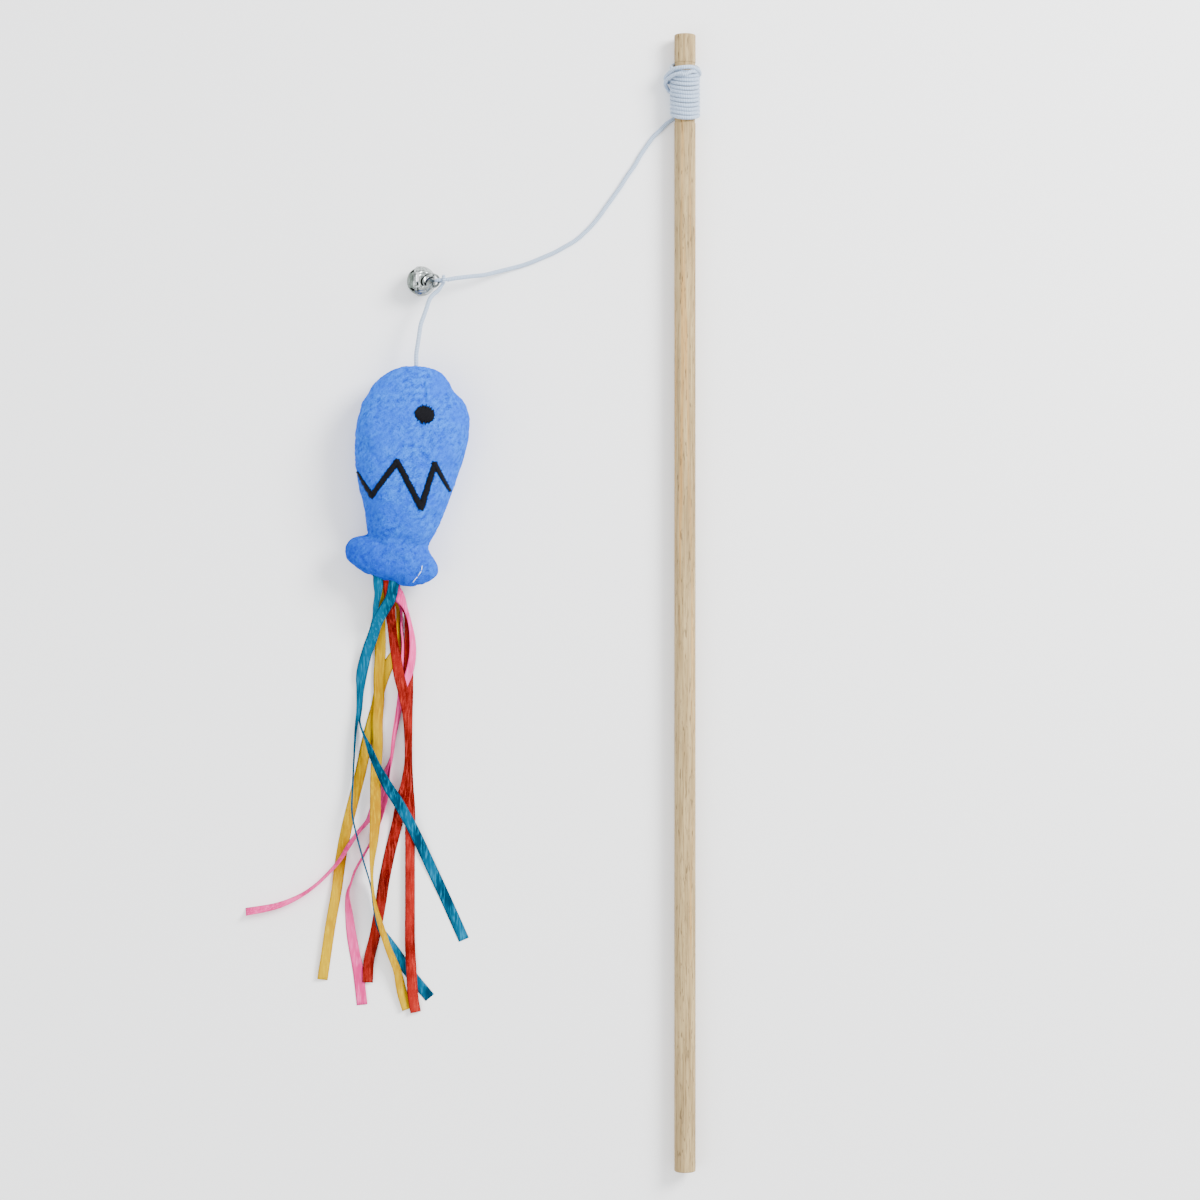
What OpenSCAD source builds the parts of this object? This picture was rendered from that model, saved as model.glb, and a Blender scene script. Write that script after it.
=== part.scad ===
// Cat teaser wand, lying on the floor: a wooden rod, an elastic cord wound and
// hitched round its tip, a small bell knotted into the cord, and a stuffed plush
// fish on the cord's end with a tassel of eight satin ribbons in its tail seam.
// Millimetres. The rod lies along Y with its tip towards +Y, and z = 0 is the floor.

/* [Rod] */
// Length of the rod
rod_l = 400; // [250:5:600]
// Diameter of the rod
rod_d = 7.5; // [5:0.5:12]
// Width of the rounding at both ends of the rod
rod_edge = 0.5; // [0.2:0.1:1]
// Distance from the origin to the rod's axis
rod_x = 74.7; // [70:0.1:90]

/* [Winding] */
// Bare rod above the winding
tip_bare = 10.5; // [5:0.5:40]
// Turns of cord side by side on the rod
turns = 12; // [6:1:20]
// Diameter of the elastic cord where it is stretched round the rod
wound_d = 1.05; // [0.6:0.05:1.4]
// Gap between one turn and the next
turn_gap = 0.43; // [0.42:0.01:0.8]
// Gap between the rod's seat and the turns
wind_clear = 0.35; // [0.1:0.05:0.5]
// Depth of the shallow seat that the turns lie in
seat_depth = 0.2; // [0.18:0.01:0.4]
// How far the hitch bulges beyond the second layer
hitch_bulge = 0.5; // [0:0.1:1]

/* [Cord] */
// Diameter of the free cord
cord_d = 1.5; // [1:0.1:2]
// Diameter of the cord where it is pulled tight in the knot
knot_d = 0.95; // [0.7:0.05:1.1]
// Gap at a joint of the cord
joint_gap = 0.1; // [0.05:0.05:0.3]

/* [Bell] */
// Outer diameter of the bell
bell_d = 10.6; // [9:0.1:14]
// Thickness of the bell's sheet metal
bell_wall = 0.35; // [0.25:0.05:0.6]
// How far the upper shell laps over the lower one
bell_lap = 0.8; // [0.5:0.1:1.5]
// Width of the two crossed slots
slot_w = 0.7; // [0.5:0.1:1.2]
// Diameter of the holes that end the slots
slot_hole_d = 1.6; // [1:0.1:2]
// Diameter of the loop's wire
loop_wire_d = 0.8; // [0.6:0.05:0.9]
// Half of the loop's width, along the middle of the wire
loop_r = 2.2; // [2:0.1:3]
// Diameter of the pellet inside
pellet_d = 2.6; // [2:0.1:3.5]

/* [Fish] */
// Length from the nose to the end of the tail
fish_l = 77; // [50:1:120]
// Greatest width of the body
fish_w = 40.5; // [30:0.5:60]
// Greatest thickness of the body
fish_t = 22; // [16:0.5:30]
// Thickness of the plush skin
skin_t = 1.2; // [0.8:0.1:2]
// Diameter of the stitched eye
eye_d = 7; // [4:0.5:9]
// Width of the zigzag stitching
zigzag_w = 1.9; // [1:0.1:3]
// Height of the stitching above the plush
stitch_t = 0.5; // [0.3:0.1:0.8]
// Width of the thread that closes the tail seam
thread_w = 0.6; // [0.4:0.1:1]

/* [Tassel] */
// Width of a ribbon
ribbon_w = 3.8; // [3:0.1:4.5]
// Thickness of a ribbon
ribbon_t = 0.3; // [0.2:0.05:0.35]
// Gap between ribbons that cross
ribbon_gap = 0.12; // [0.05:0.01:0.2]
// Gap between the ribbons' sewn ends and the tail
ribbon_seat = 0.3; // [0.1:0.05:0.5]

/* [Hidden] */

// The elastic's line from the winding to the knot, laid on the floor and lifted
// at the end by the bell
upper_route = [
    [68.5, 169.5, 0.75], [66, 167, 0.75], [63.5, 164.5, 0.75], [61, 161, 0.75], [59, 158, 0.75],
    [57, 154.5, 0.75], [54.5, 151, 0.75], [52, 147, 0.75], [49.5, 143.5, 0.75], [47, 140, 0.75],
    [44.5, 136.5, 0.75], [42, 133.5, 0.75], [39, 130.5, 0.75], [36, 128, 0.75], [32.5, 126, 0.75],
    [29, 124, 0.75], [25.5, 122.5, 0.75], [22, 121, 0.75], [18, 119.5, 0.75], [14.5, 118.5, 1],
    [11, 117.5, 2], [7.5, 116.5, 3], [4, 115.5, 4.5], [0.5, 115, 5.5], [-3, 114.5, 6.5],
    [-6, 114, 7.5], [-8.5, 113.5, 8]
];

// The elastic's line from the knot to the fish's nose
lower_route = [
    [-11.5, 110, 7.5], [-13.5, 108.5, 7.5], [-15, 106.5, 8], [-16, 103.5, 8.5], [-17, 100.5, 9],
    [-18, 97.5, 9.5], [-18.5, 94, 10], [-19, 90.5, 10.5], [-19.5, 87, 10.5], [-19.5, 83.5, 10.5]
];

// Each ribbon's line from the tail seam. A row is x and y from the middle of the
// seam, the roll in degrees, and how far the ribbon is lifted off the floor, in
// ribbon layers and in ribbon widths.
teal_long_route = [
    [2, -0.5, 0, 5, 0], [1, -5, 0, 5, 0.15], [-1, -8.5, 0, 5, 0.4], [-4, -13.5, 0, 5, 0.6],
    [-6, -19, 0, 4, 0.6], [-8.5, -25.5, 0, 3, 0.3], [-10, -31.5, -10, 3, 0.2],
    [-10.5, -37.5, -42, 2, 0.1], [-11, -44, -60, 1, 0.1], [-12, -51.5, -75, 1, 0],
    [-12.5, -61, -82, 1, 0], [-13, -72, -82, 1, 0.15], [-13, -80.5, -82, 0, 0.8],
    [-11.5, -87.5, -82, 0, 1.15], [-9, -97, -82, 0, 1.15], [-6.5, -106.5, -85, 1, 0.3],
    [-5.5, -114.5, -90, 2, 0], [-4, -120.5, -110, 2, 0], [-0.5, -126.5, -135, 1, 0],
    [2.5, -131.5, -170, 0, 0], [7, -138, -180, 0, 0], [14, -146.5, -180, 0, 0]
];
teal_wide_route = [
    [-3.5, 1, -10, 4, 0], [-3.5, -3.5, -45, 4, 0], [-4.5, -8, -55, 3, 0], [-5, -12.5, -50, 1, 0],
    [-6.5, -18.5, -30, 0, 0], [-8.5, -25, 0, 0, 0], [-10, -32, -15, 0, 0], [-10.5, -38, -45, 0, 0],
    [-10.5, -44, -65, 0, 0], [-10.5, -49, -80, 1, 0], [-9, -53.5, -75, 2, 0.1],
    [-6.5, -59.5, -50, 3, 0.4], [-4, -65, -40, 2, 0.8], [-0.5, -71.5, -15, 2, 0.95],
    [3.5, -78, 0, 4, 0.5], [8.5, -87.5, 0, 3, 0.1], [14, -99.5, 0, 1, 0], [20, -112.5, 0, 0, 0],
    [26, -126, 0, 0, 0]
];
yellow_mid_route = [
    [-2, 0.8, 0, 3, 0], [-2, -4, 5, 3, 0], [-3, -8, 10, 2, 0], [-3.5, -12.5, 5, 2, 0],
    [-3.5, -17.5, 0, 2, 0], [-3.5, -24.5, 0, 2, 0], [-4, -32.5, 0, 2, 0], [-4, -41, 0, 2, 0],
    [-4.5, -49, 0, 2, 0], [-4.5, -57.5, 0, 2, 0], [-5, -67, 0, 1, 0.5], [-5, -76, 0, 1, 1],
    [-5, -83.5, 15, 1, 1.05], [-5.5, -91.5, 45, 1, 1.05], [-6, -98, 70, 1, 1.05],
    [-6, -105, 85, 1, 1.1], [-5, -112.5, 80, 1, 1.1], [-3, -120, 65, 1, 1.05],
    [-0.5, -128.5, 60, 1, 0.5], [2.5, -136.5, 50, 1, 0.1], [4, -144, 30, 0, 0],
    [6, -150.5, 20, 0, 0]
];
yellow_left_route = [
    [2, -0.5, 0, 0, 0], [2.5, -3.5, 10, 0, 0], [3, -7, 55, 0, 0], [3, -11, 70, 0, 0],
    [3, -16, 70, 0, 0], [3, -20.5, 55, 0, 0], [2, -24.5, 15, 0, 0], [-0.5, -28.5, -5, 0, 0],
    [-2.5, -33.5, 0, 0, 0], [-4, -38.5, 0, 0, 0], [-5, -43.5, 0, 0, 0], [-6.5, -49, 0, 0, 0],
    [-8.5, -57, 0, 0, 0], [-10.5, -66.5, 0, 0, 0], [-13, -76.5, 0, 0, 0], [-15.5, -86.5, 0, 0, 0],
    [-17.5, -97, 0, 0, 0], [-19, -108.5, 20, 0, 0], [-21, -120, 25, 0, 0], [-22.5, -130, 25, 0, 0],
    [-24, -140, 20, 0, 0]
];
red_left_route = [
    [0, 0, 0, 4, 0], [0.5, -5, 0, 4, 0.1], [0.5, -10, -20, 4, 0.3], [1, -15, -30, 3, 0.8],
    [1.5, -20.5, -30, 3, 0.8], [2.5, -26.5, -20, 3, 0.9], [3.5, -32.5, 0, 3, 1.2],
    [5, -38.5, 20, 3, 1.1], [6, -46, 45, 3, 0.4], [6.5, -54.5, 50, 3, 0.1], [6.5, -63, 50, 4, 0],
    [5.5, -70.5, 40, 4, 0.2], [4, -76.5, 15, 3, 0.3], [2.5, -84.5, 10, 1, 0], [0, -94.5, 0, 0, 0],
    [-2, -104, 0, 0, 0], [-3.5, -113.5, 0, 0, 0], [-5.5, -124.5, 0, 0, 0], [-7.5, -133, 0, 2, 0],
    [-8, -141, 0, 2, 0]
];
red_right_route = [
    [2.5, -1, 0, 2, 0], [3.5, -4, 10, 2, 0], [5, -7.5, 55, 1, 0], [6, -11.5, 65, 0, 0],
    [6.5, -17, 50, 0, 0], [6.5, -24.5, 40, 0, 0], [6.5, -31.5, 35, 0, 0], [6.5, -38.5, 35, 0, 0],
    [6.5, -46, 45, 0, 0], [6.5, -54.5, 50, 0, 0], [6.5, -63, 50, 0, 0], [6.5, -71.5, 30, 0, 0],
    [7, -80.5, 20, 0, 0], [7, -91.5, 30, 0, 0], [7, -103, 30, 0, 0], [7, -115, 30, 0, 0],
    [7, -126.5, 25, 1, 0], [7.5, -136, 20, 2, 0], [8, -145, 15, 2, 0], [9, -151.5, 10, 2, 0]
];
pink_left_route = [
    [1.5, -0.5, 0, 1, 0], [2.5, -3.5, 12, 1, 0], [4, -7, 60, 1, 0], [4, -11, 85, 0, 0],
    [4, -16, 88, 0, 0], [4.5, -21, 85, 0, 0], [4.5, -26.5, 75, 0, 0], [4, -32.5, 70, 0, 0],
    [3.5, -39.5, 70, 0, 0], [2.5, -46, 75, 0, 0], [1, -54, 85, 0, 0], [0, -61.5, 95, 0, 0],
    [-2, -68, 120, 0, 0], [-3.5, -74.5, 145, 0, 0], [-6, -80, 135, 0, 0], [-8, -84, 115, 0, 0],
    [-11, -87.5, 110, 0, 0], [-14.5, -92.5, 115, 2, 0], [-18, -98, 110, 2, 0],
    [-23, -103.5, 105, 0, 0], [-27.5, -107.5, 105, 0, 0], [-33, -111, 110, 0, 0],
    [-40.5, -114, 120, 0, 0], [-51, -116, 130, 0, 0]
];
pink_low_route = [
    [2.5, -1, 0, 3, 0], [3.5, -4, 5, 3, 0], [5.5, -8, 65, 2, 0], [7, -13.5, 75, 1, 0],
    [8, -20, 62, 1, 0.1], [8, -25.5, 55, 1, 0.1], [7, -31, 50, 1, 0.25], [5, -36.5, 55, 1, 0.5],
    [4, -41, 60, 0, 0.6], [3, -47, 75, 0, 0.1], [1.5, -54.5, 80, 0, 0], [0.5, -62, 90, 0, 0],
    [-1, -68.5, 120, 0, 0], [-2, -75, 140, 0, 0], [-3.5, -81.5, 130, 0, 0], [-5, -87.5, 110, 0, 0],
    [-7.5, -92.5, 100, 0, 0], [-10, -97, 100, 0, 0], [-12.5, -101.5, 100, 0, 0],
    [-14, -106, 100, 0, 0], [-15, -110, 115, 0, 0], [-14.5, -117, 140, 0, 0],
    [-13.5, -125.5, 160, 0, 0], [-11.5, -136.5, 170, 0, 0], [-10, -149, 175, 0, 0]
];

// The fish's outline: its left and right edge at 18 places from nose to tail.
// Across is a share of the width, from the nose, and along is one of the length.
left_edge_shares = [
    [-0.05, 0.005], [-0.18, 0.02], [-0.31, 0.06], [-0.4, 0.11], [-0.475, 0.18], [-0.52, 0.27],
    [-0.535, 0.375], [-0.515, 0.51], [-0.465, 0.625], [-0.43, 0.73], [-0.425, 0.765], [-0.53, 0.775],
    [-0.59, 0.8], [-0.61, 0.835], [-0.59, 0.88], [-0.485, 0.925], [-0.32, 0.965], [-0.18, 0.99]
];
right_edge_shares = [
    [0.05, 0.005], [0.18, 0.027], [0.26, 0.06], [0.33, 0.115], [0.425, 0.18], [0.46, 0.26],
    [0.405, 0.375], [0.33, 0.505], [0.24, 0.635], [0.155, 0.76], [0.11, 0.81], [0.11, 0.83],
    [0.12, 0.85], [0.165, 0.885], [0.19, 0.92], [0.165, 0.955], [0.085, 0.985], [-0.025, 1]
];
// Thickness at the same places, as a share of the greatest one
thickness_shares = [0.2, 0.44, 0.62, 0.76, 0.88, 0.98, 1, 0.95, 0.82, 0.64, 0.52, 0.51,
    0.52, 0.52, 0.48, 0.4, 0.28, 0.14];
last_place = len(thickness_shares) - 1;
waist = 10;
// The fillings and the skin's inner face stop one place short of both ends
inner_first = 1;
inner_last = last_place - inner_first;

// Stitching on the upper panel, placed like the outline
eye_shares = [0.09, 0.228];
zigzag_shares = [
    [-0.5, 0.487], [-0.37, 0.592], [-0.145, 0.44], [0.055, 0.646], [0.175, 0.451], [0.3, 0.571]
];
thread_shares = [[0.06, 0.913], [-0.03, 0.985]];
stitch_lift = 0.05;
// Middle of the tail seam where the ribbons are sewn in, and the seam's direction
tassel_shares = [-0.2424, 0.982];
seam_angle = -19;
// The ribbons' place in the pack at the seam's height
seam_layers = 2.5;
// Where the first ribbons fall to the floor, and how much later each layer does
drape_l = 9;
drape_step = 2.6;

// What the part stands on is pressed flat
fish_flat = 0.5;
winding_flat = wound_d / 10;

wind_r = rod_d / 2 - seat_depth + wind_clear + wound_d / 2;
hitch_r = wind_r + wound_d + turn_gap;
pitch = wound_d + turn_gap;
rod_z = wind_r + wound_d / 2 - winding_flat;
wound_sides = 6;
cord_sides = 8;
fine_facets = 64;
round_facets = 24;
small_facets = 16;
// The side of the rod that faces the floor, seen along the rod
floor_side = -90;
loop_steps = 24;
climb_step = 15;
hitch_step = 12.5;
wind_top = rod_l / 2 - tip_bare - wound_d / 2;
wind_low = wind_top - turns * pitch;
// The winding's lower end bends away from the turns and runs straight to the free cord
leave_r = 4;
leave_bend = 20;
leave_run = 4.2;
leave_shares = [1, 0.6, 0.3];
// The hitch falls this far down over the turns on its way to the left
hitch_drop = 6.3;
hitch_turn = 215;
hitch_ease = 1.3;

// A free cord's round end, as angles from the cord's own direction
end_bends = [70, 40];

bell_r = bell_d / 2;
bell_tilt = 18;
lower_r = bell_r - bell_wall - joint_gap / 2;
bell_facets = 48;
slot_turns = [45, 135];
slot_hole_polar = 69;
loop_sink = 0.6;
loop_reach = bell_r - loop_sink + loop_r;
pellet_gap = 0.1;
pellet_drop = lower_r - bell_wall - pellet_d / 2 - pellet_gap;
bell_axis = [cos(bell_tilt), 0, sin(bell_tilt)];
// From the cord's end at the knot to the middle of the loop's wire
knot_reach = [3.2, 0.3, 0.75];
knot_end = upper_route[len(upper_route) - 1];
loop_top = [knot_end.x - knot_reach.x, knot_end.y - knot_reach.y, bell_r + loop_reach * bell_axis.z];
bell_mid = loop_top - loop_reach * bell_axis;
knot_gap = 0.12;
ring_r = (loop_wire_d + knot_d) / 2 + knot_gap;
hitch_loop_r = knot_d + knot_gap;
knot_step = 30;
// The knot's first and last bend, and the hitch's place, as shares of its reach and radii
knot_rise = 0.92;
knot_slant = 0.6;
knot_crossing = 240;
hitch_place = 1.65;
knot_out = [1.2, 1.3, 0.3];
lead_shares = [0.5, 0];

fish_z = fish_t / 2 - fish_flat;
nose_gap = 0.3;
cord_end = lower_route[len(lower_route) - 1];
nose = [
    cord_end.x,
    cord_end.y - cord_d / 2 - nose_gap + left_edge_shares[0].y * fish_l,
    fish_z
];
filling_gap = 0.15;
fish_sides = 24;

tassel = [nose.x + tassel_shares.x * fish_w, nose.y - tassel_shares.y * fish_l];
layer = ribbon_t + ribbon_gap;
floor_gap = 0.05;
seam_lift = fish_z - seam_layers * layer;
ribbon_steps = 2;
// How far a ribbon's first places still lie square to the seam
seam_ease = [1, 0.5, 0];
overrun = 1;

wood = [0.79, 0.70, 0.57];
elastic = [0.86, 0.89, 0.95];
nickel = [0.72, 0.74, 0.74];
plush = [0.30, 0.50, 0.90];
fibre = [0.95, 0.95, 0.93];
black = [0.06, 0.06, 0.08];
teal = [0.10, 0.52, 0.72];
yellow = [0.98, 0.80, 0.13];
red = [0.80, 0.16, 0.14];
pink = [0.98, 0.50, 0.72];

function unit(v) = v / norm(v);
function tangent(line, i) = unit(line[min(i + 1, len(line) - 1)] - line[max(i - 1, 0)]);
function square_to(side, along) = unit(side - (side * along) * along);
function smooth(s) = s * s * (3 - 2 * s);

// A solid skin over rings of equally many points, closed at both ends. A twisted sheet
// is split along the same diagonals on both of its sides, so they stay apart.
module loft(rings, twisted = false) {
    n = len(rings[0]);
    end = (len(rings) - 1) * n;
    walls = [for (i = [0 : len(rings) - 2], j = [0 : n - 1])
        let (a = i * n + j, b = i * n + (j + 1) % n)
        each twisted && j >= n / 2
            ? [[a, a + n, b], [b, a + n, b + n]]
            : [[a, b + n, b], [a, a + n, b + n]]];
    first_cap = [for (j = [1 : n - 2]) [0, j, j + 1]];
    last_cap = [for (j = [1 : n - 2]) [end, end + j + 1, end + j]];
    points = [for (ring = rings) each ring];
    polyhedron(points = points, faces = concat(walls, first_cap, last_cap), convexity = n);
}

// Rings of a round tube along a line, turned as little as possible from one to the next
function carried_sides(line, first) = [
    for (i = 0, side = square_to(first, tangent(line, 0)); i < len(line);
        side = square_to(side, tangent(line, min(i + 1, len(line) - 1))), i = i + 1) side];
function tube_rings(line, radii, n, first) =
    let (sides = carried_sides(line, first))
    [for (i = [0 : len(line) - 1])
        let (u = sides[i], v = cross(tangent(line, i), u))
        [for (j = [0 : n - 1]) line[i] + radii[i] * (cos(j * 360 / n) * u + sin(j * 360 / n) * v)]];
function evenly(line, r) = [for (p = line) r];

// A free cord. An end that turns in a joint is round.
function round_end(end, before, r) = [for (b = end_bends)
    [end + r * sin(b) * unit(end - before), r * cos(b)]];
module free_cord(line, round_first, round_last) {
    r = cord_d / 2;
    last = len(line) - 1;
    before = round_first ? round_end(line[0], line[1], r) : [];
    after = round_last ? round_end(line[last], line[last - 1], r) : [];
    rows = concat(before, [for (p = line) [p, r]], [for (i = [len(after) - 1 : -1 : 0]) after[i]]);
    loft(tube_rings([for (row = rows) row[0]], [for (row = rows) row[1]], cord_sides, [0, 0, 1]));
}

// The winding's line, from the free end at the floor up the rod and over in the hitch
function on_rod(r, a, y) = [rod_x + r * cos(a), y, rod_z + r * sin(a)];
function leave_point(b) =
    [rod_x - leave_r * sin(b), wind_low - leave_r * (1 - cos(b)), rod_z - wind_r];
leave_line = concat(
    [for (s = leave_shares)
        leave_point(leave_bend) - s * leave_run * [cos(leave_bend), sin(leave_bend), 0]],
    [for (b = [leave_bend : -leave_bend / 2 : leave_bend / 2]) leave_point(b)]);
turn_line = [for (k = [0 : turns * loop_steps])
    on_rod(wind_r, floor_side + k * 360 / loop_steps, wind_low + k * pitch / loop_steps)];
climb_line = [for (a = [climb_step : climb_step : -floor_side])
    on_rod(wind_r + (hitch_r - wind_r) * smooth(-a / floor_side), floor_side + a,
        wind_top + pitch * a / 360)];
hitch_line = [for (a = [climb_step : hitch_step : hitch_turn])
    on_rod(hitch_r + hitch_bulge * smooth(min(1, a / 180)), a,
        wind_top + pitch / 4 - hitch_drop * pow(a / hitch_turn, hitch_ease))];
hitch_last = hitch_line[len(hitch_line) - 1];
hitch_end = hitch_last + wound_d * unit(hitch_last - hitch_line[len(hitch_line) - 2]);
winding_line = concat(leave_line, turn_line, climb_line, hitch_line, [hitch_end]);

// Least gap of the winding to itself, between points at least half a turn apart
half_turn = loop_steps / 2;
winding_gap = min([for (i = [0 : len(winding_line) - half_turn - 1],
    j = [i + half_turn : len(winding_line) - 1]) norm(winding_line[i] - winding_line[j])]) - wound_d;
echo(least_gap_of_the_winding_to_itself = winding_gap);

// The knot's line: over the bell's loop, down through it and back beneath, then a
// half hitch round the cord it came from
knot_line = concat(
    [loop_top + knot_reach - [cord_d / 2 + joint_gap, 0, 0],
     loop_top + [ring_r, knot_reach.y * knot_slant, ring_r * knot_rise]],
    [for (a = [90 : knot_step : 300])
        loop_top + [ring_r * cos(a), knot_reach.y * (180 - a) / knot_crossing, ring_r * sin(a)]],
    [for (a = [-90 : knot_step : 180]) loop_top + knot_reach - [knot_reach.x, 0, 0]
        + [ring_r * hitch_place + knot_gap * sin(a), hitch_loop_r * cos(a), hitch_loop_r * sin(a)]],
    [loop_top + [ring_r * knot_out.x, -hitch_loop_r * knot_out.y, knot_reach.z * knot_out.z]],
    [for (s = lead_shares) lower_route[0] + s * (lower_route[0] - lower_route[1])]);

// A ring of the fish between its two edges. A positive inset shrinks it.
function edge_at(shares, i) = [shares[i].x * fish_w, -shares[i].y * fish_l, 0];
function fish_ring(i, inset) =
    let (left = edge_at(left_edge_shares, i), right = edge_at(right_edge_shares, i),
        mid = (left + right) / 2, half = (right - left) / 2,
        across = half - inset * unit(half),
        high = thickness_shares[i] * fish_t / 2 - inset)
    [for (j = [0 : fish_sides - 1])
        let (a = j * 360 / fish_sides)
        nose + mid + across * cos(a) + [0, 0, max(high * sin(a), inset - fish_z)]];
module fish_form(from, to, inset) {
    loft([for (i = [from : to]) fish_ring(i, inset)]);
}

module plush_shell() {
    difference() {
        fish_form(0, last_place, 0);
        fish_form(inner_first, inner_last, skin_t);
    }
}

module half_space(up) {
    size = 2 * (fish_l + fish_w);
    translate([nose.x - size / 2, nose.y - size / 2, up ? fish_z : fish_z - size]) cube(size);
}

// Stitching lies on the upper panel under a flat outline
module stitched() {
    intersection() {
        difference() {
            fish_form(0, last_place, -stitch_lift - stitch_t);
            fish_form(0, last_place, -stitch_lift);
        }
        translate([0, 0, fish_z + skin_t]) linear_extrude(fish_t) children();
    }
}
function on_fish(share) = [nose.x + share.x * fish_w, nose.y - share.y * fish_l];
module stroke(shares, w) {
    for (i = [0 : len(shares) - 2]) hull() {
        translate(on_fish(shares[i])) circle(d = w, $fn = small_facets);
        translate(on_fish(shares[i + 1])) circle(d = w, $fn = small_facets);
    }
}

// A smooth line through the rows of a route
function between(p0, p1, p2, p3, t) = 0.5 * (2 * p1 + (p2 - p0) * t
    + (2 * p0 - 5 * p1 + 4 * p2 - p3) * t * t + (3 * p1 - p0 - 3 * p2 + p3) * t * t * t);
function smooth_rows(rows, steps) =
    let (n = len(rows) - 1)
    concat([for (i = [0 : n - 1], k = [0 : steps - 1])
        between(rows[max(i - 1, 0)], rows[i], rows[i + 1], rows[min(i + 2, n)], k / steps)], [rows[n]]);

// A flat ribbon that leaves the seam at its height, falls to the floor, and rolls
// and lifts as its rows say
module ribbon(route) {
    rows = smooth_rows(route, ribbon_steps);
    flat_line = [for (row = rows) [row[0], row[1], 0]];
    fall_l = drape_l + drape_step * route[0][3];
    half = ribbon_w / 2;
    thick = ribbon_t / 2;
    rings = [for (i = [0 : len(rows) - 1])
        let (row = rows[i], along = tangent(flat_line, i), roll = row[2],
            level = [along.y, -along.x, 0],
            at_seam = [-cos(seam_angle), -sin(seam_angle), 0],
            out = unit(level + seam_ease[min(i, len(seam_ease) - 1)] * (at_seam - level)),
            across = cos(roll) * out + [0, 0, sin(roll)],
            face = cos(roll) * [0, 0, 1] - sin(roll) * out,
            fallen = min(1, max(0, -row[1]) / fall_l),
            lift = floor_gap + seam_lift * (1 + cos(180 * fallen)) / 2
                + max(0, row[3]) * layer + max(0, row[4]) * ribbon_w,
            mid = [tassel.x + row[0], tassel.y + row[1] - ribbon_seat,
                lift + half * abs(sin(roll)) + thick * abs(cos(roll))])
        [mid + half * across - thick * face, mid - half * across - thick * face,
         mid - half * across + thick * face, mid + half * across + thick * face]];
    loft(rings, true);
}

// A turned dowel with rounded end edges and a shallow seat for the winding
module rod() {
    seat_top = wind_top + wound_d;
    seat_low = leave_line[0].y - cord_d / 2;
    color(wood) translate([rod_x, rod_l / 2, rod_z]) rotate([90, 0, 0])
        rotate_extrude($fn = fine_facets) difference() {
            union() {
                square([rod_d / 2 - rod_edge, rod_l]);
                translate([0, rod_edge]) square([rod_d / 2, rod_l - 2 * rod_edge]);
                for (y = [rod_edge, rod_l - rod_edge])
                    translate([rod_d / 2 - rod_edge, y]) circle(r = rod_edge, $fn = round_facets);
            }
            translate([rod_d / 2 - seat_depth, rod_l / 2 - seat_top])
                square([overrun, seat_top - seat_low]);
        }
}

module cord_winding() {
    color(elastic) difference() {
        loft(tube_rings(winding_line, evenly(winding_line, wound_d / 2), wound_sides, [0, 0, 1]));
        translate([rod_x - 2 * hitch_r, wind_low - 2 * hitch_r, -2 * wound_d])
            cube([4 * hitch_r, wind_top - wind_low + 4 * hitch_r, 2 * wound_d]);
    }
}

module cord_upper() {
    color(elastic) free_cord(upper_route, true, true);
}

module cord_knot() {
    color(elastic) loft(tube_rings(knot_line, evenly(knot_line, knot_d / 2), cord_sides, [0, 1, 0]));
}

module cord_lower() {
    color(elastic) free_cord(lower_route, false, true);
}

// The bell's own frame: its loop points along +Z, its slots are below
module on_bell() {
    translate(bell_mid) rotate([0, 90 - bell_tilt, 0]) children();
}

module shell_profile(r, upper) {
    intersection() {
        difference() {
            circle(r = r, $fn = bell_facets);
            circle(r = r - bell_wall, $fn = bell_facets);
        }
        translate([0, upper ? 0 : -r]) square(r);
    }
}

module bell_upper_shell() {
    color(nickel) on_bell() rotate_extrude($fn = bell_facets) {
        shell_profile(bell_r, true);
        translate([bell_r - bell_wall, -bell_lap]) square([bell_wall, bell_lap]);
    }
}

module bell_lower_shell() {
    slot_top = -lower_r * cos(slot_hole_polar);
    color(nickel) on_bell() difference() {
        rotate_extrude($fn = bell_facets) shell_profile(lower_r, false);
        for (a = slot_turns) rotate([0, 0, a]) {
            translate([-bell_r, -slot_w / 2, -bell_r]) cube([bell_d, slot_w, bell_r + slot_top]);
            translate([-bell_r, 0, slot_top]) rotate([0, 90, 0])
                cylinder(h = bell_d, d = slot_hole_d, $fn = round_facets);
        }
    }
}

module bell_loop() {
    color(nickel) on_bell() difference() {
        translate([0, 0, bell_r - loop_sink]) rotate([90, 0, 90])
            rotate_extrude(angle = 180, $fn = bell_facets)
                translate([loop_r, 0]) circle(d = loop_wire_d, $fn = small_facets);
        sphere(r = bell_r + joint_gap / 2, $fn = bell_facets);
    }
}

module bell_pellet() {
    color(nickel) translate(bell_mid - [0, 0, pellet_drop]) sphere(d = pellet_d, $fn = round_facets);
}

module fish_upper_panel() {
    color(plush) intersection() {
        plush_shell();
        half_space(true);
    }
}

module fish_lower_panel() {
    color(plush) intersection() {
        plush_shell();
        half_space(false);
    }
}

module fish_body_filling() {
    color(fibre) fish_form(inner_first, waist, skin_t + filling_gap);
}

module fish_tail_filling() {
    color(fibre) fish_form(waist, inner_last, skin_t + filling_gap);
}

module fish_eye() {
    color(black) stitched() translate(on_fish(eye_shares)) circle(d = eye_d, $fn = round_facets);
}

module fish_zigzag() {
    color(black) stitched() stroke(zigzag_shares, zigzag_w);
}

module fish_closing_thread() {
    color(elastic) stitched() stroke(thread_shares, thread_w);
}

module ribbon_teal_long() {
    color(teal) ribbon(teal_long_route);
}

module ribbon_teal_wide() {
    color(teal) ribbon(teal_wide_route);
}

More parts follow.
